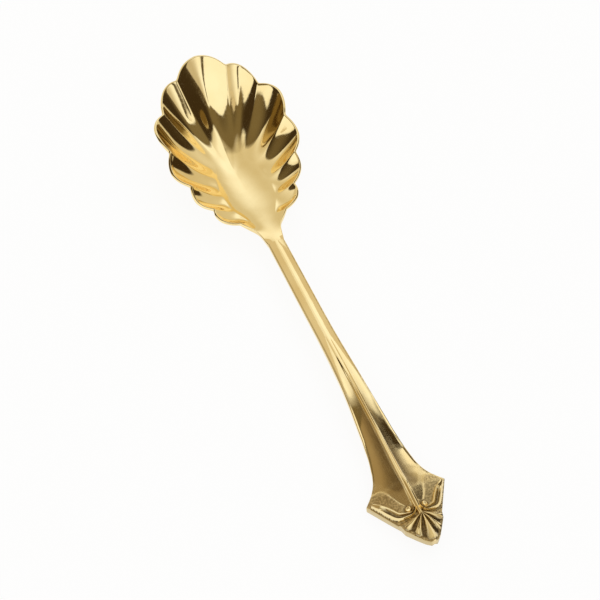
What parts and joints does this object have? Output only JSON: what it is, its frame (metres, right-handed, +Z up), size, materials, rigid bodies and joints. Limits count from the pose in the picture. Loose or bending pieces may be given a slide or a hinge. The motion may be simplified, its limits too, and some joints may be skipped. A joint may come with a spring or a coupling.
{
  "type": "serving spoon",
  "caption": "Brass serving spoon with a fluted scallop-shell bowl, a slender ridged stem and a flared handle end with scrolls, beads and a palmette.",
  "frame": {"origin": "middle of the small flat under the bowl, on the table", "axes": "+X along the spoon to the bowl's tip, +Y to the spoon's left, +Z up out of the bowl"},
  "size_m": [0.2278, 0.0548, 0.0336],
  "materials": {
    "polished_brass": "mirror polished",
    "struck_brass": "polished coves with a fine stippled ground",
    "relief_brass": "polished relief with darker recesses"
  },
  "bodies": {
    "root": {"bowl": "polished_brass", "stem": "polished_brass", "end_piece": "struck_brass", "palmette": "relief_brass", "left_scroll": "relief_brass", "right_scroll": "relief_brass", "left_bead": "relief_brass", "right_bead": "relief_brass"}
  },
  "joints": []
}
